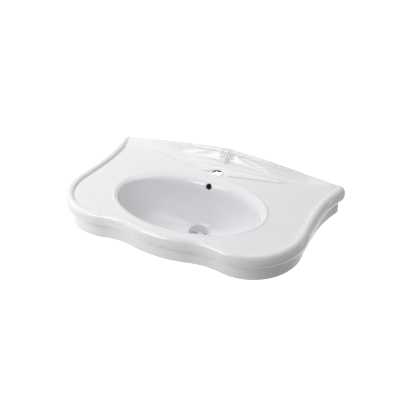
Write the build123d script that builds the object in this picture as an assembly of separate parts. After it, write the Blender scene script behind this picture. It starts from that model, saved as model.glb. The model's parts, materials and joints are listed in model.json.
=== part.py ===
from build123d import *
import math
import os

# Wall-hung vanity basin with a push-to-open waste.  Millimetres, +Z up, wall plane y = 0, the
# basin reaches out toward -Y.  Heights below are from the recessed deck; the finished parts are
# shifted so that the origin is midway between the two wall fixings.

# --- rim outline -------------------------------------------------------------
FRONT_Y = -553.0            # middle of the front, outer face of the bead
RIM_ARCS = (                # right half as tangent arcs from the middle of the front: radius, sweep
    (416.0, 14.8),          # belly
    (219.0, -28.1),         # hollow beside the belly
    (179.0, 77.5),          # front corner
    (213.0, 31.7),          # flank
    (1460.0, -5.9),         # waist
    (480.0, -17.2),         # flare toward the wall
    (50.0, 107.2),          # rounded corner at the wall
)
BEAD_TOP = 10.5
BEAD_BOTTOM = -39.0
BEAD_ROUND = 21.0           # rounding above and below the bead
BEAD_WIDTH = 34.5           # outer face to the foot of the inner step
SKIRT_SET_BACK = 19.0
SKIRT_BOTTOM = -87.0
WALL = 13.0                 # ceramic thickness of skirt and deck
BACK_WALL = 18.0

# --- back upstand (pediment) -------------------------------------------------
RIDGE_Y = -52.0
RIDGE_RISE = 3.0
PED_APEX = 57.0
PED_CORNER = 9.5
PED_HALF = 425.0
PED_BULGE = 3.5             # outward bow of each sloping top edge
PED_SOFT = 0.06             # rounding of the apex, as a share of the half width
PED_TOP_DEPTH = 5.0
PED_STATIONS = 6            # loft sections on each side of the middle
BAND_R, BAND_RISE = 3.0, 1.3   # relief bands that follow the sloping top
ORN_R = 14.0                # boss in the middle of the upstand
ORN_TILT = 48.0

# --- tap platform ------------------------------------------------------------
TAP_Y = -97.0
TAP_R = 17.5
TAP_WALL, TAP_SPOT_R = 12.0, 32.0     # ceramic left around the tap hole, and the recess below it
PLATFORM_RISE = 5.5
WING_X, WING_Y = 186.0, -64.0
LOBE_X, LOBE_Y = 44.0, -108.0
NOTCH_X, NOTCH_Y = 15.0, -88.0

# --- bowl --------------------------------------------------------------------
BOWL_Y = -314.0
LIP_A, LIP_B = 276.0, 185.0
LIP_RISE = 2.5
WASTE_Y = -251.0
SEAT_Z = -166.0
SEAT_R = 37.0
BACK_REACH, FRONT_REACH, SIDE_REACH = 40.0, 190.0, 215.0     # beyond the seat, at the top
BACK_FLARE, BACK_FADE = 31.0, 9.0                            # roll-over of the opening edge
RIM_FLARE, RIM_FADE = 8.0, 5.0
BOWL_ANGLES = (3, 7, 12, 20, 30, 42, 55, 68, 80, 90)
OVERFLOW_Y, OVERFLOW_Z, OVERFLOW_R, OVERFLOW_TILT = -170.0, -18.0, 11.0, 65.0
BOSS_R, BOSS_BOTTOM = 40.0, -194.0
WASTE_HOLE_R = 23.0
CHANNEL_HALF = 11.0
CHANNEL_GAP, CHANNEL_DEPTH = 7.0, 11.0

# --- wall fixings ------------------------------------------------------------
FIX_X, FIX_Z, FIX_R = 140.0, -48.0, 8.0

# --- waste, heights measured up from the seat ---------------------------------
TUBE_R, TUBE_BORE, TUBE_DROP = 20.95, 17.5, 84.0     # tail, at the crests of its G 1 1/4 thread
PITCH_R, TAIL_TOP = 20.2, -49.0                      # the tube under the nut, at half the thread's depth
FLANGE_R, FLANGE_T, RECESS_R, RECESS_T = 31.0, 2.5, 24.0, 1.0
SLOT_W, SLOT_TOP, SLOT_H = 12.0, -7.0, 12.0
HUB_R, HUB_TOP, HUB_H, ARM_T = 9.0, -28.0, 8.0, 3.0
CASE_R, CASE_BORE, CASE_TOP, CASE_BOTTOM = 6.5, 5.0, -24.5, -64.0
CASE_COLLAR_R, CASE_COLLAR_T = 9.0, 3.2
STEM_R, STEM_TOP, STEM_HEAD_R, STEM_HEAD_T, STEM_FOOT = 2.5, 12.0, 4.93, 3.0, -48.0
COLLAR_R, COLLAR_T, COLLAR_GAP = 4.2, 1.2, 0.3
CAM_BOTTOM, CAM_TOP, CAM_R, CAM_BORE = -38.0, -31.0, 4.94, 2.56
CLIP_T, CLIP_BORE = 4.0, 2.56
SPRING_R, SPRING_WIRE, SPRING_TURNS = 3.8, 0.45, 6
CAP_R, CAP_RIM, CAP_TOP, CAP_LAND = 31.5, 10.0, 16.5, 10.6
CAP_BOSS_R, CAP_BOSS_FOOT, CAP_HOLLOW = 5.0, 4.0, 13.2
SEAL_R, SEAL_BORE, SEAL_T = 22.0, 6.0, 2.0
NUT_AF, NUT_T = 10.0, 2.8
BACKNUT_AF, BACKNUT_T = 54.0, 10.0
CONE_R, CONE_NOSE_R, CONE_T, CONE_NOSE = 33.0, 22.6, 9.0, 5.0
SLIP_R, SLIP_T = 29.0, 1.5

waste_at = Pos(0, WASTE_Y, SEAT_Z)


def rim_face():
    point, heading, edges = (0, FRONT_Y), (1, 0), []
    for radius, sweep in RIM_ARCS:
        arc = JernArc(start=point, tangent=heading, radius=radius, arc_size=sweep)
        edges.append(arc)
        point, heading = arc @ 1, arc % 1
    edges.append(Line(point, (0, point.Y)))
    half = Curve() + edges
    return make_face(half + mirror(half, Plane.YZ))


def inset(face, distance):
    return offset(face, amount=-distance)


def ring(outer, bore, bottom, top):
    height = top - bottom
    body = Cylinder(outer, height) - Cylinder(bore, height)
    return Pos(0, 0, (top + bottom) / 2) * body


def hex_ring(across, bore, bottom, top):
    body = extrude(RegularPolygon(across / 2, 6, major_radius=False), top - bottom)
    body = Pos(0, 0, bottom) * body
    return body - Pos(0, 0, (top + bottom) / 2) * Cylinder(bore, (top - bottom) + 1)


def half_space(y_min, y_max, z_min=-400, z_max=200):
    return Pos(0, (y_min + y_max) / 2, (z_min + z_max) / 2) * Box(1400, y_max - y_min, z_max - z_min)


def ped_height(x):
    # height of the top back edge: two nearly straight slopes that meet in a rounded apex
    share = min(abs(x) / PED_HALF, 1.0)
    soft = (math.hypot(share, PED_SOFT) - PED_SOFT) / (math.hypot(1, PED_SOFT) - PED_SOFT)
    return PED_APEX + (PED_CORNER - PED_APEX) * soft + PED_BULGE * math.sin(math.pi * share)


def pediment():
    sections = []
    for i in range(-PED_STATIONS, PED_STATIONS + 1):
        x = PED_HALF * math.copysign((abs(i) / PED_STATIONS) ** 1.3, i)
        top = ped_height(x)
        outline = Polyline((RIDGE_Y, -8), (0, -8), (0, top), (-PED_TOP_DEPTH, top),
                           (RIDGE_Y, RIDGE_RISE), close=True)
        sections.append(Plane(origin=(x, 0, 0), x_dir=(0, 1, 0), z_dir=(1, 0, 0)) * make_face(outline))
    return loft(sections)


def on_slope(x, share, sink):
    # point on the sloping face of the upstand, a share of the way up, sunk below it
    top = ped_height(x)
    run, rise = -RIDGE_Y - PED_TOP_DEPTH, top - RIDGE_RISE
    length = math.hypot(run, rise)
    return (x, RIDGE_Y + run * share + sink * rise / length, RIDGE_RISE + rise * share - sink * run / length)


def pediment_bands():
    # low ridges that follow the sloping top on each side of the middle boss
    bands = []
    for side in (-1, 1):
        for inner, outer, end_x in ((0.84, 0.80, 330), (0.56, 0.42, 290)):
            stations = ((38, inner, BAND_R), (70, inner, BAND_R - BAND_RISE),
                        ((end_x + 70) / 2, (inner + outer) / 2, BAND_R - BAND_RISE), (end_x, outer, BAND_R))
            path = Spline(*[on_slope(side * x, share, sink) for x, share, sink in stations])
            bands.append(sweep(Plane(origin=path @ 0, z_dir=path % 0) * Circle(BAND_R), path))
    return bands


def ornament():
    # shield-shaped boss that narrows downward, with a scroll at each shoulder
    x, y, z = on_slope(0, 0.55, 0)
    place = Pos(x, y, z) * Rot(X=ORN_TILT)
    boss = scale(Sphere(ORN_R), by=(0.95, 1.35, 0.30))
    scrolls = [Pos(side * ORN_R * 1.1, ORN_R * 0.75, 0.5) * scale(Sphere(ORN_R * 0.5), by=(1.3, 0.8, 0.5))
               for side in (-1, 1)]
    return place * (boss + scrolls)


def platform():
    right = [(WING_X, WING_Y), (LOBE_X, LOBE_Y), (NOTCH_X, NOTCH_Y)]
    left = [(-x, y) for x, y in reversed(right)]
    outline = Polyline(*right, *left, (-WING_X, RIDGE_Y - 3), (WING_X, RIDGE_Y - 3), close=True)
    slab = extrude(make_face(outline), PLATFORM_RISE + 6)
    slab = Pos(0, 0, -6) * slab
    rims = slab.edges().group_by(Axis.Z)[-1]
    return fillet(rims, 2.0)


def bowl_reach(depth, turn):
    # distances from the waste axis to the back, front and side of the bowl at one depth
    back = SEAT_R + BACK_REACH * turn + BACK_FLARE * math.exp(depth / BACK_FADE)
    rim = RIM_FLARE * math.exp(depth / RIM_FADE)
    return back, SEAT_R + FRONT_REACH * turn + rim, SEAT_R + SIDE_REACH * turn + rim


def bowl_slice(depth, turn, grow):
    back, front, side = bowl_reach(depth, turn)
    spread = grow * (0.3 + 0.7 * turn)
    place = Pos(0, WASTE_Y + (back - front) / 2, depth - grow * (1 - turn))
    return place * Ellipse(side + spread, (back + front) / 2 + spread)


def bowl_form(grow):
    sections = [bowl_slice(LIP_RISE + 1, 1, grow), bowl_slice(0, 1, grow)]
    for angle in BOWL_ANGLES:
        turn = math.radians(angle)
        sections.append(bowl_slice(SEAT_Z * math.sin(turn), math.cos(turn), grow))
    return loft(sections)


def channel_edge(gap):
    points = []
    for share in (0.13, 0.36, 0.60, 0.84):
        depth = SEAT_Z * share
        back, _, _ = bowl_reach(depth, math.sqrt(1 - share ** 2))
        points.append((WASTE_Y + back + gap, depth))
    return points


def overflow_channel(margin):
    # passage cast behind the bowl, from the overflow hole down to the waste hole
    near = channel_edge(CHANNEL_GAP) + [(WASTE_Y + 50, SEAT_Z - 8), (WASTE_Y + 18, SEAT_Z - 9)]
    far = channel_edge(CHANNEL_GAP + CHANNEL_DEPTH) + [(WASTE_Y + 60, SEAT_Z - 20), (WASTE_Y + 18, SEAT_Z - 20)]
    face = Plane.YZ * make_face(Polyline(*near, *reversed(far), close=True))
    if margin:
        face = offset(face, amount=margin)
    return extrude(face, CHANNEL_HALF + margin, both=True)


def basin():
    face = rim_face()
    slab = Pos(0, 0, BEAD_BOTTOM) * extrude(face, BEAD_TOP - BEAD_BOTTOM)
    edges = slab.edges().group_by(Axis.Z)
    body = fillet(edges[0] + edges[-1], BEAD_ROUND)
    pocket = extrude(inset(face, BEAD_WIDTH), 40)
    body -= pocket & half_space(-700, -12)
    body += Pos(0, 0, SKIRT_BOTTOM) * extrude(inset(face, SKIRT_SET_BACK), BEAD_BOTTOM + 4 - SKIRT_BOTTOM)
    inside = Pos(0, 0, SKIRT_BOTTOM - 1) * extrude(inset(face, SKIRT_SET_BACK + WALL), -SKIRT_BOTTOM + 1 - WALL)
    inside = inside & half_space(-700, -BACK_WALL)
    shell = bowl_form(WALL)
    boss = Pos(0, WASTE_Y, (BOSS_BOTTOM + SEAT_Z) / 2) * Cylinder(BOSS_R, SEAT_Z - BOSS_BOTTOM)
    cover = overflow_channel(8.0) & half_space(-700, -BACK_WALL, BOSS_BOTTOM, -4)
    body -= inside
    body += (shell & half_space(-700, -BACK_WALL, -400, -2)) + boss + cover
    body += pediment()
    body += platform()
    lip = Pos(0, BOWL_Y, -4) * extrude(Ellipse(LIP_A, LIP_B), LIP_RISE + 4)
    lip = fillet(lip.edges().group_by(Axis.Z)[-1], LIP_RISE - 0.4)
    body += lip
    for band in pediment_bands():
        body += band
    body += ornament()
    waste_hole = Pos(0, WASTE_Y, SEAT_Z - 20) * Cylinder(WASTE_HOLE_R, 50)
    body -= bowl_form(0.0) + waste_hole
    overflow = Pos(0, OVERFLOW_Y, OVERFLOW_Z) * Rot(X=OVERFLOW_TILT) * Pos(0, 0, -9) * Cylinder(OVERFLOW_R, 32)
    body -= overflow_channel(0.0) + overflow
    body -= Pos(0, TAP_Y, 0) * Cylinder(TAP_R, 80)
    spot_depth = WALL + PLATFORM_RISE - TAP_WALL
    body -= Pos(0, TAP_Y, PLATFORM_RISE - TAP_WALL - spot_depth / 2) * Cylinder(TAP_SPOT_R, spot_depth)
    for side in (-1, 1):
        body -= Pos(side * FIX_X, 0, FIX_Z) * Rot(X=90) * Cylinder(FIX_R, 90)
    body &= half_space(-700, 0)
    return body


def waste_body():
    body = ring(TUBE_R, TUBE_BORE, -TUBE_DROP, TAIL_TOP)
    body += ring(PITCH_R, TUBE_BORE, TAIL_TOP, FLANGE_T - 0.5)
    body += ring(FLANGE_R, TUBE_BORE, 0.35, FLANGE_T)
    body -= ring(RECESS_R, TUBE_BORE - 1, RECESS_T, FLANGE_T + 1)
    for turn in (0, 90):
        slot = Box(60, SLOT_W, SLOT_H)
        body -= Pos(0, 0, SLOT_TOP - SLOT_H / 2) * Rot(Z=turn) * slot
    hub = ring(HUB_R, CASE_R + 0.3, HUB_TOP - HUB_H, HUB_TOP)
    arms = [Rot(Z=30 + 120 * i) * Pos((HUB_R + TUBE_BORE) / 2, 0, HUB_TOP - HUB_H / 2)
            * Box(TUBE_BORE - HUB_R + 2, ARM_T, HUB_H) for i in range(3)]
    return waste_at * (body + hub + arms)


def flange_washer():
    return waste_at * ring(FLANGE_R - 1.5, WASTE_HOLE_R - 0.5, 0.0, 0.35)


def cone_seal():
    body = ring(CONE_R, PITCH_R, BOSS_BOTTOM - SEAT_Z - CONE_T, BOSS_BOTTOM - SEAT_Z)
    nose = ring(CONE_NOSE_R, PITCH_R, BOSS_BOTTOM - SEAT_Z - 1, BOSS_BOTTOM - SEAT_Z + CONE_NOSE)
    return waste_at * (body + nose)


def slip_washer():
    top = BOSS_BOTTOM - SEAT_Z - CONE_T
    return waste_at * ring(SLIP_R, PITCH_R + 0.35, top - SLIP_T, top)


def backnut():
    top = BOSS_BOTTOM - SEAT_Z - CONE_T - SLIP_T
    body = hex_ring(BACKNUT_AF, PITCH_R, top - BACKNUT_T, top)
    body += ring(BACKNUT_AF / 2 + 3.5, PITCH_R, top - 2.5, top)
    return waste_at * body


def cartridge_case():
    body = ring(CASE_R, CASE_BORE, CASE_BOTTOM, CASE_TOP)
    body += ring(CASE_COLLAR_R, CASE_BORE, HUB_TOP, HUB_TOP + CASE_COLLAR_T)
    body += ring(CASE_R, 1.5, CASE_BOTTOM, CASE_BOTTOM + 2)
    body += ring(CASE_COLLAR_R - 0.5, CASE_R - 0.5, HUB_TOP - HUB_H - 4, HUB_TOP - HUB_H - 0.4)
    return waste_at * body


def cartridge_clip():
    body = ring(CASE_COLLAR_R - 1, CLIP_BORE, CASE_TOP, CASE_TOP + 1.5)
    body += ring(CASE_BORE, CLIP_BORE, CASE_TOP - CLIP_T + 0.5, CASE_TOP + 0.5)
    return waste_at * body


def plug_stem():
    rod = Pos(0, 0, (STEM_TOP + STEM_FOOT) / 2) * Cylinder(STEM_R, STEM_TOP - STEM_FOOT)
    head = Pos(0, 0, STEM_FOOT + STEM_HEAD_T / 2) * Cylinder(STEM_HEAD_R, STEM_HEAD_T)
    low, high = CAM_BOTTOM - COLLAR_GAP - COLLAR_T, CAM_TOP + COLLAR_GAP
    collars = [Pos(0, 0, z + COLLAR_T / 2) * Cylinder(COLLAR_R, COLLAR_T) for z in (low, high)]
    return waste_at * (rod + head + collars)


def cam_sleeve():
    body = ring(CAM_R, CAM_BORE, CAM_BOTTOM, CAM_TOP)
    for i in range(4):
        body -= Rot(Z=90 * i) * Pos(CAM_R, 0, CAM_TOP - 1) * Rot(X=35) * Box(2.4, 1.6, 5)
    return waste_at * body


def return_spring():
    bottom, top = CASE_BOTTOM + 2 + SPRING_WIRE + 0.1, STEM_FOOT - SPRING_WIRE - 0.1
    path = Helix(pitch=(top - bottom) / SPRING_TURNS, height=top - bottom, radius=SPRING_R)
    wire = sweep(Plane(origin=path @ 0, z_dir=path % 0) * Circle(SPRING_WIRE), path, is_frenet=True)
    return waste_at * Pos(0, 0, bottom) * wire


def plug_cap():
    edge_z = CAP_RIM + 1.6
    rise = CAP_TOP - edge_z - 0.6
    dome = (CAP_R ** 2 + rise ** 2) / (2 * rise)
    mid = CAP_R * 0.55
    mid_z = CAP_TOP - (dome - math.sqrt(dome ** 2 - mid ** 2))
    section = Curve() + [
        ThreePointArc((0, CAP_TOP), (mid, mid_z), (CAP_R - 0.9, edge_z + 1.1)),
        ThreePointArc((CAP_R - 0.9, edge_z + 1.1), (CAP_R, edge_z - 0.2), (CAP_R - 1.2, CAP_RIM)),
        Polyline((CAP_R - 1.2, CAP_RIM), (CAP_R - 3, CAP_RIM), (CAP_R - 4.5, CAP_RIM + 1.6),
                 (SEAL_R + 1, CAP_RIM + 1.6), (SEAL_R + 1, CAP_LAND), (CAP_BOSS_R, CAP_LAND),
                 (CAP_BOSS_R, CAP_BOSS_FOOT), (STEM_R, CAP_BOSS_FOOT), (STEM_R, STEM_TOP),
                 (0, STEM_TOP), (0, CAP_TOP)),
    ]
    return waste_at * revolve(Plane.XZ * make_face(section), Axis.Z)


def plug_seal():
    return waste_at * ring(SEAL_R, CAP_BOSS_R, CAP_LAND - SEAL_T, CAP_LAND)


def stem_lock_nut():
    return waste_at * hex_ring(NUT_AF, STEM_R, CAP_BOSS_FOOT - NUT_T, CAP_BOSS_FOOT)


parts = {
    "basin": basin,
    "waste_body": waste_body,
    "flange_washer": flange_washer,
    "cone_seal": cone_seal,
    "slip_washer": slip_washer,
    "backnut": backnut,
    "cartridge_case": cartridge_case,
    "cartridge_clip": cartridge_clip,
    "cam_sleeve": cam_sleeve,
    "return_spring": return_spring,
    "plug_stem": plug_stem,
    "plug_cap": plug_cap,
    "plug_seal": plug_seal,
    "stem_lock_nut": stem_lock_nut,
}

os.makedirs("parts", exist_ok=True)
for name, make in parts.items():
    solid = Pos(0, 0, -FIX_Z) * make()
    box = solid.bounding_box()
    print(name, "solids", len(solid.solids()), "volume", round(solid.volume),
          "min", [round(v, 1) for v in box.min], "max", [round(v, 1) for v in box.max])
    export_step(solid, f"parts/{name}.step")
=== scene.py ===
import json
import math

import bmesh
import bpy
import numpy as np
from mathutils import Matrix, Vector


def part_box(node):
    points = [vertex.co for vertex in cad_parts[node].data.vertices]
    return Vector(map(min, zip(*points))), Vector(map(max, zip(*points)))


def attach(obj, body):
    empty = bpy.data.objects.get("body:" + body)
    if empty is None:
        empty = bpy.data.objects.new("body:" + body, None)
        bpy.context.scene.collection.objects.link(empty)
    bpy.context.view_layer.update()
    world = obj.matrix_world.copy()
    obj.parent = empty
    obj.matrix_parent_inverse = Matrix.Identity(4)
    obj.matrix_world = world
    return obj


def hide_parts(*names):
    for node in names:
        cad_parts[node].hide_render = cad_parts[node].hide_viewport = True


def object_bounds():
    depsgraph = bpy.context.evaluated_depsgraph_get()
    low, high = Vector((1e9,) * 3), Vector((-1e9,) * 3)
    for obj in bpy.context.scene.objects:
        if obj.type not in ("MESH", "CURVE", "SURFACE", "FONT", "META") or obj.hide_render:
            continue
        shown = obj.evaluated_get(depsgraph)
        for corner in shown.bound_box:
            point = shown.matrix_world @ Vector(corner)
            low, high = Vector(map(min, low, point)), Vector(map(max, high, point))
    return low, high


# Vanity basin in glazed fireclay with its push-to-open waste.  Shapes are worked out in
# millimetres with z = 0 on the recessed deck, then placed in metres in the frame.

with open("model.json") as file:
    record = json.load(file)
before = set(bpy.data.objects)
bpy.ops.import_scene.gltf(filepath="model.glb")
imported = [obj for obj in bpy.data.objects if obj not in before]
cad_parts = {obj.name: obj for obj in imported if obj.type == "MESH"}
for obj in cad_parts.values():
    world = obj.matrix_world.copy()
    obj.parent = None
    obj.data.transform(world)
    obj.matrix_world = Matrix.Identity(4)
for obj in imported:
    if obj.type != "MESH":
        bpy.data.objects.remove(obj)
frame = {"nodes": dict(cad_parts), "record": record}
cad_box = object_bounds()
mounts = {mount["name"]: mount for mount in frame["record"]["mounts"]}
MM = 0.001

# --- places taken from the frame ---------------------------------------------
tap = mounts["tap_hole"]
fixing = mounts["wall_fixing"]
APEX = 57.0                                  # top of the upstand above the deck
DECK = cad_box[1].z - APEX * MM              # height of the deck in the frame
TAP_Y, TAP_R, TAP_WALL = tap["pos_m"][1] / MM, tap["dims"]["r_mm"], tap["dims"]["length_mm"]
TAP_SPOT_R = 32.0                            # recess below the tap hole
FIX_X, FIX_R = fixing["dims"]["spacing_x_mm"] / 2, fixing["dims"]["hole_r_mm"]
FIX_Z = (fixing["pos_m"][2] - DECK) / MM
WASTE_Y = mounts["waste_outlet"]["pos_m"][1] / MM
FRONT_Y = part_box("basin")[0].y / MM

# --- rim outline, right half as tangent arcs from the middle of the front -----
RIM_ARCS = (
    (416.0, 14.8),          # belly: radius, sweep
    (219.0, -28.1),         # hollow beside the belly
    (179.0, 77.5),          # front corner
    (213.0, 31.7),          # flank
    (1460.0, -5.9),         # waist
    (480.0, -17.2),         # flare toward the wall
    (50.0, 107.2),          # rounded corner at the wall
)
RIM_STEP, CORNER_STEP = 4.5, 2.0
BACK_STEP, MIDDLE_STEP, MIDDLE_HALF = 1.8, 1.0, 60.0

# --- bead, skirt and walls -----------------------------------------------------
BEAD_CREST, BEAD_TOP = 21.0, 10.7           # inset and height of the crest
BEAD_MID = -14.15                           # height of the outermost line
BEAD_SHOULDER, SHOULDER_Z = 29.0, 7.6       # top of the inner step
BEAD_FOOT = 34.5
SKIRT_INSET, SKIRT_BOTTOM, SKIRT_ROUND = 19.0, -87.0, 3.0
WALL, BACK_WALL = 13.0, 18.0
WALL_STEP = 0.02                             # least drop from ring to ring on the wall plane

# --- how the rings of the upper surface are counted --------------------------------
LIP_RAISED = 3                               # last rings of the lip that rise with the plateau
CREST_RING, BEHIND_CREST = 12, 13            # outer rings up to the bead's crest, and beyond it
FOOT_FROM_WALL = -4.7                        # nearest the deck's last ring comes to the wall

# --- upstand -------------------------------------------------------------------
RIDGE_Y, RIDGE_RISE, RIDGE_BEAD = -50.0, 3.0, 2.4    # foot of the slope, its height and its bead
UPSTAND_TOP_Y = -4.0
CORNER, HALF_SPAN = 9.5, 425.0
BULGE, SOFT = 3.5, 0.06
EDGE_ROUND = 3.0
HOLLOW = 0.20                 # how far the slope sags between its edges, as a share of its rise
REED_RISE = 1.5
SHELL_HALF, SHELL_REACH = 21.0, 24.0          # half width and half height of the shell
SHELL_MIDDLE, SLOPE_LENGTH = 0.60, 71.0       # its middle as a share of the slope, and the slope
SHELL_DOME, SHELL_ARCH, SHELL_KEEL = 7.0, 2.6, 1.6
HOLLOW_LEFT, HOLLOW_RIGHT = 5.0, 2.2          # depths of the shell's two flutes
VOLUTES = ((0.82, 1.5, 6.0), (0.64, 2.5, 4.6))   # share of the slope, distance from the shell, radius

# --- tap plateau -----------------------------------------------------------------
PLATEAU_RISE, RISER = 5.5, 4.5                # height, and width of the slope at its edge
WING, LOBE, NOTCH = (280.0, -56.0), (45.0, -106.0), (14.0, -86.0)   # corners of its right half

# --- bowl --------------------------------------------------------------------------
BOWL_Y = -314.0
LIP_A, LIP_B = 276.0, 185.0                   # half axes of the lip's oval
LIP_PROFILE = (                               # distance inside that oval and height
    (5.0, 0.9), (4.0, 1.6), (3.0, 2.0), (1.8, 2.1), (0.6, 1.9), (-0.6, 1.5),
    (-2.0, 1.0), (-3.6, 0.5), (-5.2, 0.2), (-7.0, 0.05), (-9.0, 0.0),
)
SEAT_Z, SEAT_R = -166.0, 37.0
BACK_REACH, FRONT_REACH, SIDE_REACH = 42.5, 191.0, 219.0
BACK_FLARE, BACK_FADE = 29.0, 13.0            # long slope below the back edge: width, depth
RIM_FLARE, RIM_FADE = 6.5, 9.0                # the same at the sides and front
ROLL, ROLL_FADE = 7.0, 2.2                    # tight rounding of the opening edge
BOWL_EDGE = 3                                 # last angle of the bowl's curve, in degrees
HOLE_R, HOLE_BOTTOM, BOSS_R, BOSS_BOTTOM = 23.0, -192.5, 40.0, -194.0
HOLE_ROUND = 4.0                              # rounding of the waste hole on the bowl floor
DOME_RISE, CAP_EDGE = 2.2, 2.4          # plug cap: rise of its dome and rounding of its edge
CAP_TURNS = 96
CAP_FOOT = ((28.5, 6.0), (27.0, 7.6), (23.0, 7.6), (23.0, 6.6), (5.0, 6.6), (5.0, 0.0))   # underside
OVERFLOW_AT, OVERFLOW_R, OVERFLOW_TILT = (0.0, -170.0, -18.0), 11.0, 65.0


# --- studio and camera, in metres ------------------------------------------------------
WORLD_STRENGTH = 0.26
FLOOR_HALF, FLOOR_DROP, FLOOR_GLOW = 60.0, 0.85, 0.85
LAMPS = (                  # name, place from the middle of the basin, size, watts, in reflections
    ("softbox", (-0.88, -1.45, 1.41), (1.0, 0.6), 11, True),
    ("overhead", (0.6, 0.1, 2.0), (1.8, 1.4), 14, True),
    ("side", (-1.5, 0.6, 1.6), (1.5, 1.2), 28, False),
    ("low", (-1.3, -1.9, -0.1), (1.6, 0.8), 18, False),
)
CAMERA_AT, CAMERA_AIM = (0.9961, -2.1484, 1.3350), (0.07585, -0.32035, 0.048)
LENS, SENSOR = 63.12, 36.0


# --- profile helpers ---------------------------------------------------------------
def smooth(edge_0, edge_1, value):
    share = np.clip((value - edge_0) / (edge_1 - edge_0), 0, 1)
    return share * share * (3 - 2 * share)


def larger(a, b, blend):
    # maximum of two heights with a rounded valley between them
    share = np.clip(0.5 + 0.5 * (a - b) / blend, 0, 1)
    return b + (a - b) * share + blend * share * (1 - share)


def rim_line():
    # points of the rim outline and their inward normals, once round from the middle of the front
    points, normals = [], []
    at, heading = np.array([0.0, FRONT_Y]), 0.0
    for index, (radius, sweep) in enumerate(RIM_ARCS):
        turn, side = math.radians(sweep), math.copysign(1, sweep)
        centre = at + side * radius * np.array([-math.sin(heading), math.cos(heading)])
        step = CORNER_STEP if index == len(RIM_ARCS) - 1 else RIM_STEP
        count = max(2, round(radius * abs(turn) / step))
        for i in range(count):
            angle = heading + turn * i / count
            out = side * np.array([math.sin(angle), -math.cos(angle)])
            points.append(centre + radius * out)
            normals.append(-side * out)
        heading += turn
        at = centre + side * radius * np.array([math.sin(heading), -math.cos(heading)])
    coarse = np.arange(at[0], MIDDLE_HALF, -BACK_STEP)
    fine = np.arange(MIDDLE_HALF, 0, -MIDDLE_STEP)
    for x in [*coarse, *fine]:
        points.append(np.array([x, at[1]]))
        normals.append(np.array([0.0, -1.0]))
    right, inward = np.array(points), np.array(normals)
    middle = np.array([[0.0, at[1]]])
    left = right[:0:-1] * [-1, 1]
    left_inward = inward[:0:-1] * [-1, 1]
    return np.vstack([right, middle, left]), np.vstack([inward, [[0.0, -1.0]], left_inward])


def upstand_top(x):
    share = np.minimum(np.abs(x) / HALF_SPAN, 1)
    soft = (np.hypot(share, SOFT) - SOFT) / (np.hypot(1, SOFT) - SOFT)
    top = APEX + (CORNER - APEX) * soft + BULGE * np.sin(np.pi * share)
    return top - 1.2 * np.maximum(np.abs(x) - HALF_SPAN, 0)


def reeds(x, s):
    # three rounded reeds that fan out from the shell on each side, with creases between them
    far = np.abs(x)
    crease_low = 0.40 + 0.35 * np.exp(-(far - 60) / 70)
    crease_high = 0.765 + 0.02 * smooth(200, 60, far)
    foot = 0.50 - 0.32 * (far / 275) ** 1.6
    rise = np.zeros_like(s)
    for low, high in ((foot, crease_low), (crease_low, crease_high), (crease_high, 0.93)):
        width = np.maximum(high - low, 0.02)
        across = np.clip((s - low) / width, 0, 1)
        rise += np.sin(np.pi * across) ** 0.8 * np.clip(width / 0.16, 0, 1)
    return rise * smooth(300, 170, far) * smooth(22, 40, far)


def upstand(x, y):
    top = upstand_top(x)
    s = (y - RIDGE_Y) / (UPSTAND_TOP_Y - RIDGE_Y)
    run, rise = UPSTAND_TOP_Y - RIDGE_Y, top - RIDGE_RISE
    slope = RIDGE_RISE + rise * (s - HOLLOW * np.sin(np.pi * np.clip(s, 0, 1)))
    face = slope + REED_RISE * reeds(x, s) * np.hypot(run, rise) / run
    height = np.where(s < 1, face, top)
    height = np.minimum(height, top)
    near = np.clip(y + EDGE_ROUND, 0, EDGE_ROUND)
    height = height - (EDGE_ROUND - np.sqrt(np.maximum(EDGE_ROUND ** 2 - near ** 2, 0)))
    return height


def polygon_distance(x, y, corners):
    # signed distance to a closed polygon, negative inside
    nearest = np.full(x.shape, 1e9)
    inside = np.zeros(x.shape, bool)
    for (ax, ay), (bx, by) in zip(corners, corners[1:] + corners[:1]):
        ex, ey = bx - ax, by - ay
        t = np.clip(((x - ax) * ex + (y - ay) * ey) / (ex * ex + ey * ey), 0, 1)
        nearest = np.minimum(nearest, np.hypot(x - ax - t * ex, y - ay - t * ey))
        crosses = (ay > y) != (by > y)
        inside ^= crosses & (x < ax + (y - ay) * ex / (ey if ey else 1e-9))
    return np.where(inside, -nearest, nearest)


def plateau(x, y):
    right = [(WING[0], RIDGE_Y + 8), WING, LOBE, NOTCH]
    outline = right + [(-px, py) for px, py in reversed(right)]
    away = polygon_distance(x, y, outline)
    step = PLATEAU_RISE * smooth(RISER / 2, -RISER / 2, away)
    edge = 0.9 * np.exp(-((away + RISER / 2 + 1) / 2.2) ** 2)
    return (step + edge) * smooth(292, 215, np.abs(x))


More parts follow.
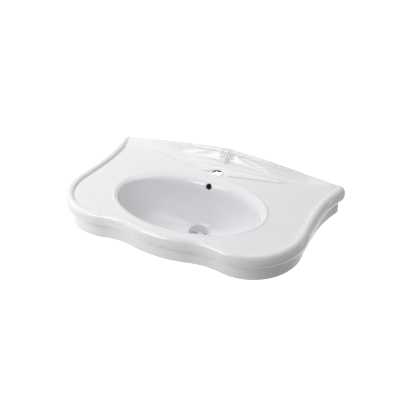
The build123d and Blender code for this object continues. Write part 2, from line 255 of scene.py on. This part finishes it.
def shell_ornament(x, s):
    # how far the shell in the middle of the upstand stands out from its slope
    u, v = x / SHELL_HALF, (s - SHELL_MIDDLE) * SLOPE_LENGTH / SHELL_REACH
    wide = 0.80 + 0.20 * np.clip(v, -1, 1)
    radius = np.hypot(u / wide, v)
    dome = SHELL_DOME * np.clip(1 - radius ** 2.2, 0, 1) ** 0.9
    upper = smooth(-0.1, 0.4, v)
    arch = SHELL_ARCH * np.exp(-((radius - 0.80) / 0.13) ** 2) * upper
    left = HOLLOW_LEFT * np.exp(-((u + 0.36) / 0.26) ** 2 - ((v - 0.22) / 0.42) ** 2)
    right = HOLLOW_RIGHT * np.exp(-((u - 0.40) / 0.24) ** 2 - ((v - 0.30) / 0.34) ** 2)
    keel = SHELL_KEEL * np.exp(-((u + 0.02) / 0.12) ** 2 - ((v + 0.05) / 0.55) ** 2)
    rise = np.where(radius < 1, dome + arch + keel - left - right, 0)
    for side in (-1, 1):
        for cs, out, reach in VOLUTES:
            off = np.hypot(x - side * (SHELL_HALF + out), (s - cs) * SLOPE_LENGTH) / reach
            rise = np.maximum(rise, 0.5 * reach * np.clip(1 - off ** 2, 0, 1))
    return rise * smooth(0.98, 0.92, s)


def top_height(x, y, ring_z):
    # height of the upper surface: bead, deck and lip from the ring, raised by upstand and plateau
    z = larger(upstand(x, y), ring_z + plateau(x, y), 3.0)
    along = smooth(300, 265, np.abs(x))
    crest = RIDGE_BEAD * np.exp(-((y - RIDGE_Y + 1) / 2.6) ** 2)
    valley = 0.6 * RIDGE_BEAD * np.exp(-((y - RIDGE_Y + 5.5) / 2.2) ** 2)
    return z + along * (crest - valley)


# --- the grid: one closed loop of rings, from the waste hole over the rim and back ----------
def bowl_reach(depth, turn):
    roll = ROLL * np.exp(depth / ROLL_FADE)
    back = SEAT_R + BACK_REACH * turn + BACK_FLARE * np.exp(depth / BACK_FADE) + roll
    rim = RIM_FLARE * np.exp(depth / RIM_FADE) + roll
    return back, SEAT_R + FRONT_REACH * turn + rim, SEAT_R + SIDE_REACH * turn + rim


def bowl_ring(angle, grow, psi):
    turn, depth = math.cos(angle), SEAT_Z * math.sin(angle)
    back, front, side = bowl_reach(depth, turn)
    spread = grow * (0.3 + 0.7 * turn)
    x = (side + spread) * np.cos(psi)
    y = WASTE_Y + (back - front) / 2 + ((back + front) / 2 + spread) * np.sin(psi)
    return np.column_stack([x, y, np.full_like(x, depth - grow * (1 - turn))])


def circle_ring(radius, z, psi):
    return np.column_stack([radius * np.cos(psi), WASTE_Y + radius * np.sin(psi), np.full_like(psi, z)])


def lip_rings(psi):
    # from the last bowl ring over the raised lip, then out to the deck
    rings = []
    for inset, z in LIP_PROFILE:
        x = (LIP_A - inset) * np.cos(psi)
        y = BOWL_Y + (LIP_B - inset) * np.sin(psi)
        rings.append(np.column_stack([x, y, np.full_like(x, z)]))
    return rings


def deck_shares():
    coarse = np.linspace(0, 0.56, 42)[1:]
    fine = np.linspace(0.56, 1, 84)[1:]
    return np.concatenate([coarse, fine])


def outer_profile():
    # inset and height of each ring from the foot of the inner step to the foot of the skirt
    rings = [(33.6, 0.3), (32.7, 1.1), (31.9, 2.5), (31.1, 4.2), (30.1, 6.2), (BEAD_SHOULDER, SHOULDER_Z)]
    for t in np.linspace(0, 1, 8)[1:]:
        inset = BEAD_SHOULDER + (BEAD_CREST - BEAD_SHOULDER) * t
        rings.append((inset, SHOULDER_Z + (BEAD_TOP - SHOULDER_Z) * math.sin(math.pi / 2 * t)))
    for angle in np.linspace(90, -80, 35)[1:]:
        a = math.radians(angle)
        rings.append((BEAD_CREST * (1 - math.cos(a)), BEAD_MID + (BEAD_TOP - BEAD_MID) * math.sin(a)))
    rings += [(18.3, -39.4), (SKIRT_INSET - 0.2, -40.2), (SKIRT_INSET, -41.5)]
    for z in np.linspace(-41.5, SKIRT_BOTTOM + SKIRT_ROUND, 14)[1:]:
        rings.append((SKIRT_INSET, z))
    for angle in (20, 45, 70, 90):
        a = math.radians(angle)
        inset = SKIRT_INSET + SKIRT_ROUND * (1 - math.cos(a))
        rings.append((inset, SKIRT_BOTTOM + SKIRT_ROUND * (1 - math.sin(a))))
    return rings


def inner_profile():
    inner = SKIRT_INSET + WALL
    rings = [(inner - 8, SKIRT_BOTTOM), (inner - 3, SKIRT_BOTTOM), (inner - 0.9, SKIRT_BOTTOM + 0.9),
             (inner, SKIRT_BOTTOM + 3)]
    for z in np.linspace(SKIRT_BOTTOM + 3, -17, 18)[1:]:
        rings.append((inner, z))
    rings += [(inner + 1.2, -14.2), (inner + 4, -WALL)]
    return rings


def outer_bowl_ring(angle, psi):
    ring = bowl_ring(angle, WALL, psi)
    behind = np.exp(-(ring[:, 0] / 20.0) ** 4) * (np.sin(psi) > 0)
    ring[:, 1] += 20 * behind * np.clip(math.cos(angle) * 1.6, 0, 1)
    return ring


def waste_rings(psi):
    # the waste hole, from its foot to the rounded edge on the bowl floor
    rings = [circle_ring(HOLE_R, z, psi) for z in np.linspace(HOLE_BOTTOM, SEAT_Z - 5, 5)]
    for angle in (0, 30, 60, 90):
        a = math.radians(angle)
        radius = HOLE_R + HOLE_ROUND * (1 - math.cos(a))
        rings.append(circle_ring(radius, SEAT_Z - HOLE_ROUND * (1 - math.sin(a)), psi))
    rings.append(circle_ring(SEAT_R - 5, SEAT_Z, psi))
    return rings


def bowl_rings(psi):
    rings = [bowl_ring(math.radians(angle), 0.0, psi) for angle in np.linspace(90, BOWL_EDGE, 60)]
    for share in (0.65, 0.3, 0.0):
        rings.append(bowl_ring(math.radians(BOWL_EDGE) * share, 0.0, psi))
    return rings


def deck_rings(start, foot):
    rings = []
    for share in deck_shares():
        flat = start[:, :2] + (foot - start[:, :2]) * share
        rings.append(np.column_stack([flat, np.zeros(len(flat))]))
    return rings


def rim_rings(line, inward):
    rings = []
    for inset, z in outer_profile():
        flat = line + inset * inward
        rings.append(np.column_stack([flat, np.full(len(flat), z)]))
    return rings


def raise_top(rings):
    # lifts rings of the upper surface to the upstand and plateau, and moves the shell out of its slope
    run = UPSTAND_TOP_Y - RIDGE_Y
    for ring in rings:
        beyond = np.minimum(ring[:, 1], 0)
        ring[:, 2] = top_height(ring[:, 0], beyond, ring[:, 2])
        rise = upstand_top(ring[:, 0]) - RIDGE_RISE
        out = shell_ornament(ring[:, 0], (ring[:, 1] - RIDGE_Y) / run)
        length = np.hypot(run, rise)
        ceiling = np.maximum(APEX - 0.2, ring[:, 2])
        ring[:, 1] -= out * rise / length
        ring[:, 2] = np.minimum(ring[:, 2] + out * run / length, ceiling)


def skirt_inner_rings(line, inward):
    # inside of the skirt, kept a growing distance away from the wall plane
    rings = []
    for index, (inset, z) in enumerate(inner_profile()):
        flat = line + inset * inward
        limit = -min(BACK_WALL, 8 + 5 * index)
        flat[:, 1] = np.minimum(flat[:, 1], limit)
        rings.append(np.column_stack([flat, np.full(len(flat), z)]))
    return rings


def under_deck_rings(inside, psi):
    # underside of the deck, from the skirt to the outside of the bowl
    rings = []
    shell = outer_bowl_ring(math.radians(4), psi)
    for share in np.linspace(0, 1, 13)[1:-1]:
        flat = inside[:, :2] + (shell[:, :2] - inside[:, :2]) * share
        drop = -WALL - 3.5 * max(0.0, share - 0.9) * 10
        rings.append(np.column_stack([flat, np.full(len(flat), drop)]))
    return rings


def bowl_outside_rings(psi):
    # outside of the bowl and the boss around the waste
    rings = [outer_bowl_ring(math.radians(angle), psi) for angle in np.linspace(5, 78, 30)]
    boss = ((BOSS_R + 4, SEAT_Z - 12), (BOSS_R, SEAT_Z - 15), (BOSS_R, -186), (BOSS_R, BOSS_BOTTOM + 2),
            (BOSS_R - 0.7, BOSS_BOTTOM + 0.6), (BOSS_R - 2, BOSS_BOTTOM), (HOLE_R + 8, BOSS_BOTTOM),
            (HOLE_R + 1.5, BOSS_BOTTOM))
    return rings + [circle_ring(radius, z, psi) for radius, z in boss]


def basin_rings():
    line, inward = rim_line()
    foot = line + BEAD_FOOT * inward
    foot[:, 1] = np.minimum(foot[:, 1], FOOT_FROM_WALL)
    phi = np.arctan2(foot[:, 1] - BOWL_Y, foot[:, 0])
    psi = np.arctan2(np.sin(phi) / LIP_B, np.cos(phi) / LIP_A)
    rings = waste_rings(psi) + bowl_rings(psi) + lip_rings(psi)
    top_from = len(rings) - LIP_RAISED
    rings += deck_rings(rings[-1], foot)
    outer_from = len(rings)
    crest = outer_from + CREST_RING
    rings += rim_rings(line, inward)
    outer_to = len(rings)
    raise_top(rings[top_from:crest + 1])
    for ring in rings[crest + 1:crest + 1 + BEHIND_CREST]:
        behind = upstand(ring[:, 0], np.minimum(ring[:, 1], 0))
        ring[:, 2] = larger(behind, ring[:, 2], 2.0)
    clamp_to_wall(rings, outer_from, outer_to)
    rings += skirt_inner_rings(line, inward)
    rings += under_deck_rings(rings[-1], psi)
    return rings + bowl_outside_rings(psi)


def clamp_to_wall(rings, first, last):
    # rings that would pass the wall plane lie on it, spread evenly from the top edge down
    stack = np.stack(rings[first:last])
    past = stack[:, :, 1] > 0
    count = last - first
    for column in np.flatnonzero(past.any(axis=0)):
        start = int(np.argmax(past[:, column]))
        x = stack[start, column, 0]
        raised = max(0.0, float(upstand(np.array([x]), np.array([0.0]))[0]) - stack[start, column, 2])
        top = np.maximum(stack[start, column, 2] + raised, stack[start:, column, 2])
        lift = top[0] - stack[start, column, 2]
        steps = np.arange(count - start)
        stack[start:, column, 2] += lift * (1 - steps / (count - start - 1))
        stack[start:, column, 1] = np.minimum(stack[start:, column, 1], 0)
        for k in range(start + 1, count):
            stack[k, column, 2] = min(stack[k, column, 2], stack[k - 1, column, 2] - WALL_STEP)
    for index in range(first, last):
        rings[index][:] = stack[index - first]


# --- holes ---------------------------------------------------------------------------
def add_ring(bm, centre, axis, across, radius, along, fit=None, count=48):
    # one ring of points around an axis; fit may move each point along the axis onto a surface
    up = axis.cross(across)
    ring = []
    for i in range(count):
        a = 2 * math.pi * i / count
        point = centre + (across * math.cos(a) + up * math.sin(a)) * radius
        point = fit(point) + axis * along if fit else point + axis * along
        ring.append(bm.verts.new(point))
    return ring


def join_rings(bm, a, b, material=0):
    for i in range(len(a)):
        j = (i + 1) % len(a)
        face = bm.faces.new((a[i], a[j], b[j], b[i]))
        face.smooth = True
        face.material_index = material


def open_surface(bm, centre, axis, radius, low, high):
    # removes the faces around an axis between two stations and returns the edges left open
    doomed = []
    for face in bm.faces:
        from_axis = face.calc_center_median() - centre
        along = from_axis.dot(axis)
        if low < along < high and (from_axis - axis * along).length < radius:
            doomed.append(face)
    kept = set()
    for face in doomed:
        kept.update(face.verts)
    bmesh.ops.delete(bm, geom=doomed, context="FACES")
    return [e for v in kept if v.is_valid for e in v.link_edges if e.is_boundary]


def stitch(bm, loop, ring):
    edges = set(loop)
    for i, vert in enumerate(ring):
        nxt = ring[(i + 1) % len(ring)]
        edges.add(bm.edges.get((vert, nxt)) or bm.edges.new((vert, nxt)))
    made = bmesh.ops.bridge_loops(bm, edges=list(edges))
    for face in made["faces"]:
        face.smooth = True


def pierce(bm, centre, axis, across, steps, ends, fits=(None, None), shade_painted_bands=()):
    # a hole through the wall: opens both surfaces and lines the hole with rings of given radius; the bands
    # listed in the last argument take the near-black painted shade
    loops = []
    for station, (low, high) in enumerate(ends):
        margin = steps[0 if station == 0 else -1][0] + 2.5
        loops.append(open_surface(bm, centre, axis, margin, low, high))
    rings = []
    for index, (radius, along) in enumerate(steps):
        fit = fits[0] if index == 0 else None
        rings.append(add_ring(bm, centre, axis, across, radius, along, fit))
    for index, (a, b) in enumerate(zip(rings, rings[1:])):
        join_rings(bm, a, b, 1 if index in shade_painted_bands else 0)
    stitch(bm, loops[0], rings[0])
    stitch(bm, loops[1], rings[-1])
    return rings


def bowl_back_y(x, z):
    turn = math.sqrt(max(0.0, 1 - (z / SEAT_Z) ** 2))
    back, front, side = bowl_reach(z, turn)
    return WASTE_Y + (back - front) / 2 + (back + front) / 2 * math.sqrt(max(0.0, 1 - (x / side) ** 2))


def onto_bowl(axis):
    def fit(point):
        low, high = -40.0, 40.0
        for _ in range(40):
            middle = (low + high) / 2
            p = point + axis * middle
            if p.y > bowl_back_y(p.x, p.z):
                low = middle
            else:
                high = middle
        return point + axis * low
    return fit


def cut_holes(bm):
    # tap hole, two wall fixing holes and the overflow with its closed channel
    up, ahead, right = Vector((0, 0, 1)), Vector((0, 1, 0)), Vector((1, 0, 0))
    top, under = PLATEAU_RISE, PLATEAU_RISE - TAP_WALL
    tap_steps = [(TAP_R + 2.6, top), (TAP_R + 1.2, top - 0.5), (TAP_R + 0.3, top - 1.5), (TAP_R, top - 3),
                 (TAP_R, under + 2), (TAP_R + 0.6, under + 0.6), (TAP_R + 2, under), (TAP_SPOT_R - 2, under),
                 (TAP_SPOT_R, under - 2), (TAP_SPOT_R, -WALL + 2), (TAP_SPOT_R + 2, -WALL)]

    def on_top(point):
        x, y = np.array([point.x]), np.array([point.y])
        point.z = float(top_height(x, y, np.zeros(1))[0]) - top
        return point

    # bands 3 to 5 of the tap bore are lined with the near-black painted shade
    pierce(bm, Vector((0, TAP_Y, 0)), up, right, tap_steps, ((-2, 20), (-20, -8)), (on_top, None), (3, 4, 5))
    for side in (-1, 1):
        steps = [(FIX_R + 1.2, 0), (FIX_R + 0.3, -0.4), (FIX_R, -1.5), (FIX_R, -BACK_WALL + 1.5),
                 (FIX_R + 0.3, -BACK_WALL + 0.4), (FIX_R + 1.2, -BACK_WALL)]
        ends = ((-4, 4), (-BACK_WALL - 4, -BACK_WALL + 4))
        pierce(bm, Vector((side * FIX_X, 0, FIX_Z)), ahead, right, steps, ends)
    tilt = math.radians(OVERFLOW_TILT)
    axis = Vector((0, -math.sin(tilt), math.cos(tilt)))
    centre = Vector(OVERFLOW_AT)
    loop = open_surface(bm, centre, axis, OVERFLOW_R + 4.5, -12, 25)
    fit = onto_bowl(axis)
    steps = [(2.4, 0), (1.2, -0.4), (0.3, -1.3), (0, -2.8), (0, -6.5), (0.8, -7.5), (1.2, -9), (1.2, -19),
             (-1, -21.5), (-6, -22.5)]
    rings = [add_ring(bm, centre, axis, right, OVERFLOW_R + more, along, fit) for more, along in steps]
    for index, (a, b) in enumerate(zip(rings, rings[1:])):
        # channel walls past the mouth, and its closed end below, are lined with the near-black painted shade
        # that stands in for the depth of the overflow
        join_rings(bm, a, b, 1 if index > 3 else 0)
    stitch(bm, loop, rings[0])
    end = bm.faces.new(rings[-1])
    end.material_index = 1
    end.smooth = True


def china_basin():
    rings = basin_rings()
    count, around = len(rings), len(rings[0])
    points = np.concatenate(rings)
    column = np.arange(around)
    faces = []
    for j in range(count):
        here, there = j * around, ((j + 1) % count) * around
        nxt = (column + 1) % around
        faces.append(np.column_stack([here + column, here + nxt, there + nxt, there + column]))
    mesh = bpy.data.meshes.new("china_basin")
    mesh.from_pydata(points.tolist(), [], np.concatenate(faces).tolist())
    bm = bmesh.new()
    bm.from_mesh(mesh)
    cut_holes(bm)
    bmesh.ops.recalc_face_normals(bm, faces=bm.faces)
    for vert in bm.verts:
        vert.co = Vector((vert.co.x * MM, vert.co.y * MM, vert.co.z * MM + DECK))
    bm.to_mesh(mesh)
    bm.free()
    mesh.polygons.foreach_set("use_smooth", np.ones(len(mesh.polygons), bool))
    basin = bpy.data.objects.new("china_basin", mesh)
    bpy.context.scene.collection.objects.link(basin)
    return basin


def cap_profile(radius, top):
    # radius and height from the middle of the dome, over the turned step and edge, to the foot
    profile = [(0.0, top)]
    profile += [(r, top - DOME_RISE * (r / radius) ** 2) for r in (3, 6, 9, 12, 15, 18, 20.5)]
    shoulder = top - DOME_RISE * 0.5
    profile += [(21.6, shoulder - 0.1), (22.1, shoulder - 0.55), (22.8, shoulder - 0.6)]
    for i in range(13):
        a = math.pi * i / 12
        out, up = CAP_EDGE * math.sin(a), CAP_EDGE * math.cos(a)
        profile.append((radius - CAP_EDGE + out, shoulder - 0.6 - CAP_EDGE + up))
    return profile + [*CAP_FOOT, (0.0, 0.0)]


def turned(bm, profile):
    # closed solid of revolution; the first and last points of the profile lie on the axis
    rings = []
    for r, z in profile[1:-1]:
        ring = []
        for i in range(CAP_TURNS):
            a = 2 * math.pi * i / CAP_TURNS
            ring.append(bm.verts.new((r * math.cos(a), r * math.sin(a), z)))
        rings.append(ring)
    for a, b in zip(rings, rings[1:]):
        join_rings(bm, a, b)
    for ring, (_, z) in ((rings[0], profile[0]), (rings[-1], profile[-1])):
        tip = bm.verts.new((0, 0, z))
        for i in range(CAP_TURNS):
            bm.faces.new((ring[i], ring[(i + 1) % CAP_TURNS], tip)).smooth = True
    bmesh.ops.recalc_face_normals(bm, faces=bm.faces)


def plug_dome():
    # chrome cap of the plug: shallow dome, fine turned step, rounded edge and recessed underside
    low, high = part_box("plug_cap")
    bm = bmesh.new()
    turned(bm, cap_profile((high.x - low.x) / 2 / MM, (high.z - low.z) / MM))
    bmesh.ops.scale(bm, vec=(MM, MM, MM), verts=bm.verts)
    middle = (low + high) / 2
    bmesh.ops.translate(bm, vec=(middle.x, middle.y, low.z), verts=bm.verts)
    mesh = bpy.data.meshes.new("plug_dome")
    bm.to_mesh(mesh)
    bm.free()
    dome = bpy.data.objects.new("plug_dome", mesh)
    bpy.context.scene.collection.objects.link(dome)
    return dome


# --- materials -------------------------------------------------------------------------
def finish_material(name, colour, spread, scale, rough, rough_spread, bump, metallic=0.0):
    # a surface whose colour, roughness and relief vary a little with a seamless noise
    mat = bpy.data.materials.new(name)
    mat.use_nodes = True
    nodes, links = mat.node_tree.nodes, mat.node_tree.links
    shader = nodes["Principled BSDF"]
    shader.inputs["Metallic"].default_value = metallic
    where = nodes.new("ShaderNodeTexCoord")
    noise = nodes.new("ShaderNodeTexNoise")
    noise.inputs["Scale"].default_value = scale
    noise.inputs["Detail"].default_value = 4.0
    links.new(where.outputs["Object"], noise.inputs["Vector"])
    ramp = nodes.new("ShaderNodeValToRGB")
    for stop, factor in zip(ramp.color_ramp.elements, (1 - spread, 1 + spread)):
        stop.color = [min(1.0, c * factor) for c in colour] + [1]
    ramp.color_ramp.elements[0].position = 0.3
    ramp.color_ramp.elements[1].position = 0.7
    links.new(noise.outputs["Fac"], ramp.inputs["Fac"])
    links.new(ramp.outputs["Color"], shader.inputs["Base Color"])
    span = nodes.new("ShaderNodeMapRange")
    span.inputs["To Min"].default_value = max(0.02, rough - rough_spread)
    span.inputs["To Max"].default_value = rough + rough_spread
    links.new(noise.outputs["Fac"], span.inputs["Value"])
    links.new(span.outputs["Result"], shader.inputs["Roughness"])
    relief = nodes.new("ShaderNodeBump")
    relief.inputs["Strength"].default_value = bump
    relief.inputs["Distance"].default_value = 0.0004
    links.new(noise.outputs["Fac"], relief.inputs["Height"])
    links.new(relief.outputs["Normal"], shader.inputs["Normal"])
    return mat


def glaze():
    mat = finish_material("glaze", (0.83, 0.835, 0.85), 0.012, 22.0, 0.20, 0.04, 0.10)
    shader = mat.node_tree.nodes["Principled BSDF"]
    shader.inputs["Specular IOR Level"].default_value = 0.0
    shader.inputs["Coat Weight"].default_value = 1.0
    shader.inputs["Coat Roughness"].default_value = 0.05
    shader.inputs["Coat IOR"].default_value = 1.5
    return mat


def slot_materials():
    chrome, dark_chrome = (0.78, 0.79, 0.80), (0.52, 0.525, 0.54)
    black, brass, steel = (0.045, 0.045, 0.045), (0.62, 0.44, 0.19), (0.56, 0.56, 0.57)
    return {
        "waste_chrome": finish_material("waste_chrome", chrome, 0.04, 60.0, 0.14, 0.05, 0.05, 1.0),
        "cap_chrome": finish_material("cap_chrome", dark_chrome, 0.03, 45.0, 0.09, 0.03, 0.03, 1.0),
        "seal_rubber": finish_material("seal_rubber", black, 0.25, 180.0, 0.75, 0.1, 0.4),
        "plug_rubber": finish_material("plug_rubber", (0.06, 0.06, 0.06), 0.25, 180.0, 0.7, 0.1, 0.4),
        "slip_plastic": finish_material("slip_plastic", (0.82, 0.82, 0.80), 0.03, 90.0, 0.45, 0.08, 0.2),
        "nut_brass": finish_material("nut_brass", brass, 0.12, 120.0, 0.32, 0.1, 0.3, 1.0),
        "stem_brass": finish_material("stem_brass", brass, 0.10, 150.0, 0.28, 0.08, 0.2, 1.0),
        "case_plastic": finish_material("case_plastic", (0.75, 0.76, 0.76), 0.04, 110.0, 0.5, 0.08, 0.25),
        "cam_plastic": finish_material("cam_plastic", (0.10, 0.17, 0.35), 0.08, 110.0, 0.45, 0.08, 0.2),
        "spring_steel": finish_material("spring_steel", steel, 0.1, 200.0, 0.25, 0.08, 0.2, 1.0),
    }


def dress_cad_nodes():
    finishes = slot_materials()
    for node in frame["nodes"].values():
        for slot in node.material_slots:
            for key, mat in finishes.items():
                if slot.material and key in slot.material.name:
                    slot.material = mat
                    break


# --- studio ---------------------------------------------------------------------------
def area_light(name, place, aim, size, power, shines=True):
    # shines=False keeps a light out of the reflections
    light = bpy.data.lights.new(name, "AREA")
    light.shape = "RECTANGLE"
    light.size, light.size_y = size
    light.energy = power
    lamp = bpy.data.objects.new(name, light)
    bpy.context.scene.collection.objects.link(lamp)
    lamp.visible_glossy = shines
    lamp.location = place
    lamp.rotation_euler = (Vector(aim) - Vector(place)).to_track_quat("-Z", "Y").to_euler()
    return lamp


def pale_world():
    world = bpy.data.worlds.new("studio")
    world.use_nodes = True
    background = world.node_tree.nodes["Background"]
    background.inputs["Color"].default_value = (1, 1, 1, 1)
    background.inputs["Strength"].default_value = WORLD_STRENGTH
    bpy.context.scene.world = world


def pale_floor():
    bm = bmesh.new()
    bmesh.ops.create_grid(bm, x_segments=8, y_segments=8, size=FLOOR_HALF)
    mesh = bpy.data.meshes.new("floor")
    bm.to_mesh(mesh)
    bm.free()
    floor = bpy.data.objects.new("floor", mesh)
    bpy.context.scene.collection.objects.link(floor)
    floor.location = (0, 0, DECK - FLOOR_DROP)
    floor.visible_diffuse = False
    mat = bpy.data.materials.new("pale_floor")
    mat.use_nodes = True
    shader = mat.node_tree.nodes["Principled BSDF"]
    shader.inputs["Base Color"].default_value = (0.9, 0.9, 0.9, 1)
    shader.inputs["Roughness"].default_value = 0.9
    shader.inputs["Emission Color"].default_value = (1, 1, 1, 1)
    shader.inputs["Emission Strength"].default_value = FLOOR_GLOW
    mesh.materials.append(mat)
    return floor


def lamps():
    centre = Vector((0, -0.28, DECK))
    for name, offset, size, power, shines in LAMPS:
        area_light(name, centre + Vector(offset), centre, size, power, shines)
    # a narrow beam from below, onto the inside of the back wall that shows through the tap hole
    place, aim = (-0.05, -0.30, DECK - 0.75), (-0.04, -0.018, DECK - 0.052)
    below = area_light("below", place, aim, (0.04, 0.04), 4, False)
    below.data.spread = math.radians(9)


def studio():
    pale_world()
    pale_floor()
    lamps()
    bpy.context.scene.view_settings.view_transform = "Standard"


def camera():
    data = bpy.data.cameras.new("camera")
    data.lens, data.sensor_width = LENS, SENSOR
    cam = bpy.data.objects.new("camera", data)
    bpy.context.scene.collection.objects.link(cam)
    cam.location = CAMERA_AT
    cam.rotation_euler = (Vector(CAMERA_AIM) - cam.location).to_track_quat("-Z", "Y").to_euler()
    bpy.context.scene.camera = cam


basin = china_basin()
basin.data.materials.append(glaze())
# painted shade: unglazed clay inside the tap bore and overflow channel, coloured near-black to stand in for
# the shade in those recesses
painted_shade_colour = (0.10, 0.095, 0.09)
basin.data.materials.append(finish_material("bare_fireclay", painted_shade_colour, 0.1, 300.0, 0.9, 0.05, 0.4))
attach(basin, "basin")
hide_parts("basin")
dress_cad_nodes()
cap = plug_dome()
cap.data.materials.append(bpy.data.materials["cap_chrome"])
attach(cap, "plug")
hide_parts("plug_cap")
studio()
camera()
